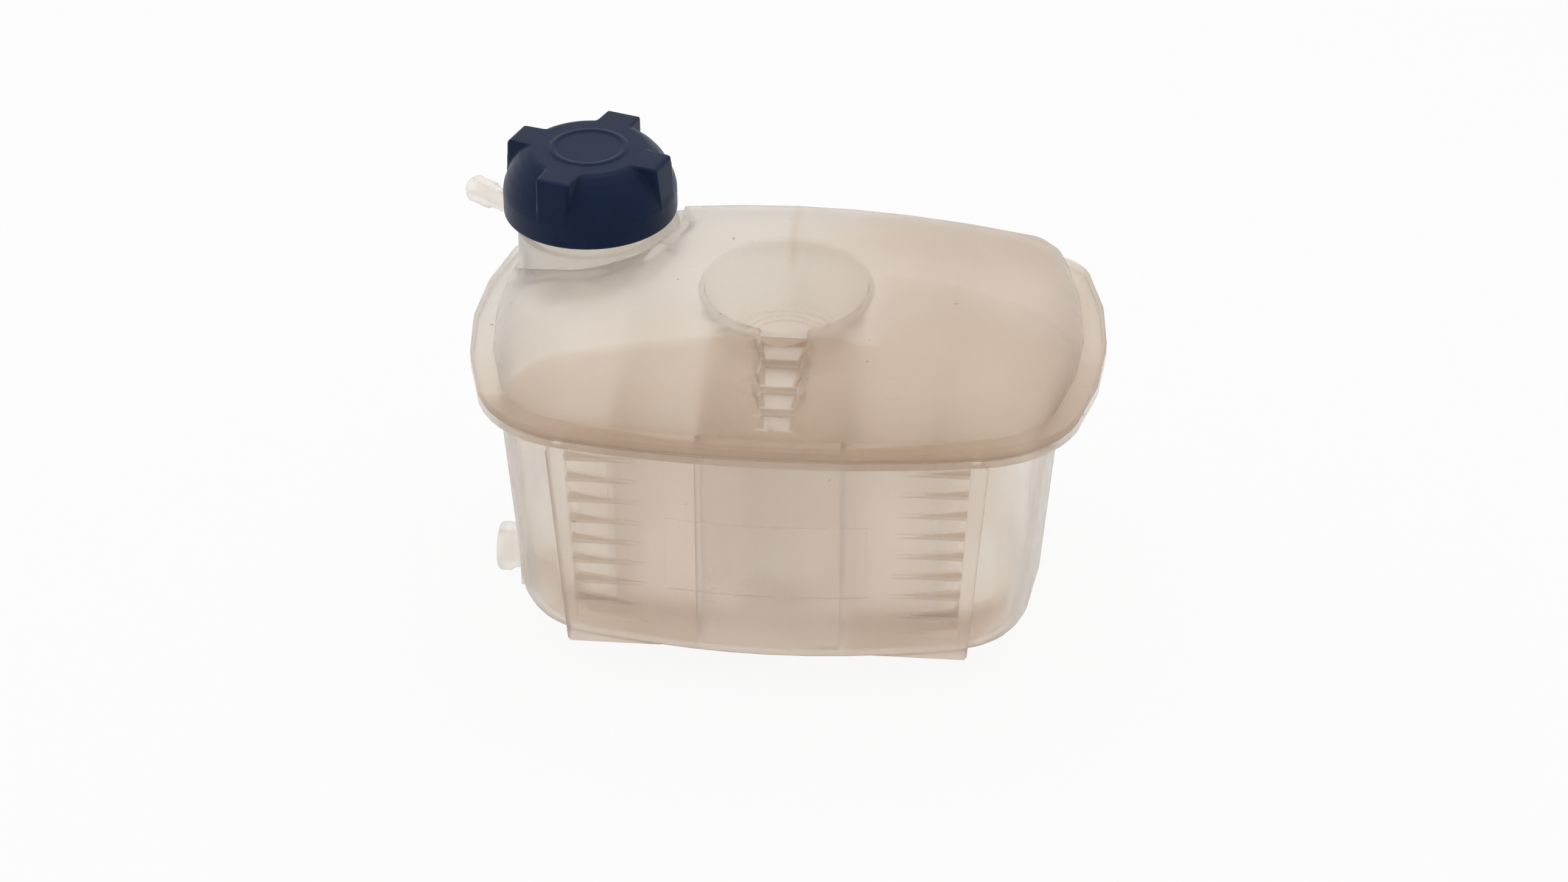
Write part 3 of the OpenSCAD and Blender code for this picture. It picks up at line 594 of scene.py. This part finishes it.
def photo_camera():
    right = Vector((math.cos(VIEW_TURN), math.sin(VIEW_TURN), 0))
    level = Vector((-math.sin(VIEW_TURN), math.cos(VIEW_TURN), 0))
    ahead = level * math.cos(VIEW_DOWN) - Vector((0, 0, math.sin(VIEW_DOWN)))
    down = -(level * math.sin(VIEW_DOWN) + Vector((0, 0, math.cos(VIEW_DOWN))))
    data = bpy.data.cameras.new("photo_camera")
    camera = bpy.data.objects.new("photo_camera", data)
    bpy.context.scene.collection.objects.link(camera)
    turn = Matrix((right, -down, -ahead)).transposed().to_4x4()
    turn.translation = (Vector((0, 0, FLANGE_Z))
                        - (right * AIM[0] + down * AIM[1] + ahead * VIEW_DISTANCE))
    camera.matrix_world = turn
    data.sensor_width = 36
    data.lens = FOCUS / FRAME_W * data.sensor_width
    data.shift_x = (FRAME_W / 2 - CENTRE[0]) / FRAME_W
    data.shift_y = (CENTRE[1] - FRAME_H / 2) / FRAME_W
    data.clip_start, data.clip_end = 0.05, 20
    data.dof.use_dof = False
    bpy.context.scene.camera = camera


def seen_rays(nodes, links):
    """1 for rays that see the background directly, in gloss or through glass."""
    path = nodes.new("ShaderNodeLightPath")
    total = path.outputs["Is Camera Ray"]
    for name in ("Is Glossy Ray", "Is Transmission Ray"):
        joined = nodes.new("ShaderNodeMath")
        joined.operation = "MAXIMUM"
        links.new(total, joined.inputs[0])
        links.new(path.outputs[name], joined.inputs[1])
        total = joined.outputs[0]
    return total


def pale_floor():
    mesh = bpy.data.meshes.new("floor")
    reach = 12.0
    mesh.from_pydata([(-reach, -reach, 0), (reach, -reach, 0), (reach, reach, 0),
                      (-reach, reach, 0)], [], [(0, 1, 2, 3)])
    floor = bpy.data.objects.new("floor", mesh)
    bpy.context.scene.collection.objects.link(floor)
    material = bpy.data.materials.new("pale_floor")
    material.use_nodes = True
    nodes, links = material.node_tree.nodes, material.node_tree.links
    nodes.clear()
    matt = nodes.new("ShaderNodeBsdfDiffuse")
    matt.inputs["Color"].default_value = (0.82, 0.82, 0.82, 1)
    glow = nodes.new("ShaderNodeEmission")
    share = nodes.new("ShaderNodeMath")
    share.operation = "MULTIPLY"
    share.inputs[1].default_value = 0.9
    links.new(seen_rays(nodes, links), share.inputs[0])
    mix = nodes.new("ShaderNodeMixShader")
    links.new(share.outputs[0], mix.inputs[0])
    links.new(matt.outputs[0], mix.inputs[1])
    links.new(glow.outputs[0], mix.inputs[2])
    out = nodes.new("ShaderNodeOutputMaterial")
    links.new(mix.outputs[0], out.inputs["Surface"])
    mesh.materials.append(material)


def studio_world(ambient):
    world = bpy.data.worlds.new("studio")
    bpy.context.scene.world = world
    world.use_nodes = True
    nodes, links = world.node_tree.nodes, world.node_tree.links
    nodes.clear()
    strength = nodes.new("ShaderNodeMapRange")
    strength.inputs["To Min"].default_value = ambient
    links.new(seen_rays(nodes, links), strength.inputs["Value"])
    back = nodes.new("ShaderNodeBackground")
    links.new(strength.outputs["Result"], back.inputs["Strength"])
    out = nodes.new("ShaderNodeOutputWorld")
    links.new(back.outputs[0], out.inputs[0])


def softbox(name, place, aim, width, height, power):
    data = bpy.data.lights.new(name, "AREA")
    data.shape = "RECTANGLE"
    data.size, data.size_y, data.energy = width, height, power
    lamp = bpy.data.objects.new(name, data)
    bpy.context.scene.collection.objects.link(lamp)
    lamp.location = place
    lamp.rotation_euler = (Vector(aim) - Vector(place)).to_track_quat("-Z", "Y").to_euler()


photo_camera()
pale_floor()
studio_world(0.92)
softbox("top_box", (0.0, 0.25, 1.1), (0, 0, 0.08), 1.0, 0.8, 2.7)
softbox("left_box", (-1.0, 0.15, 0.45), (0, 0, 0.08), 0.5, 0.9, 0.6)
softbox("right_box", (1.0, 0.15, 0.45), (0, 0, 0.08), 0.5, 0.9, 0.2)
bpy.context.scene.view_settings.view_transform = "Standard"
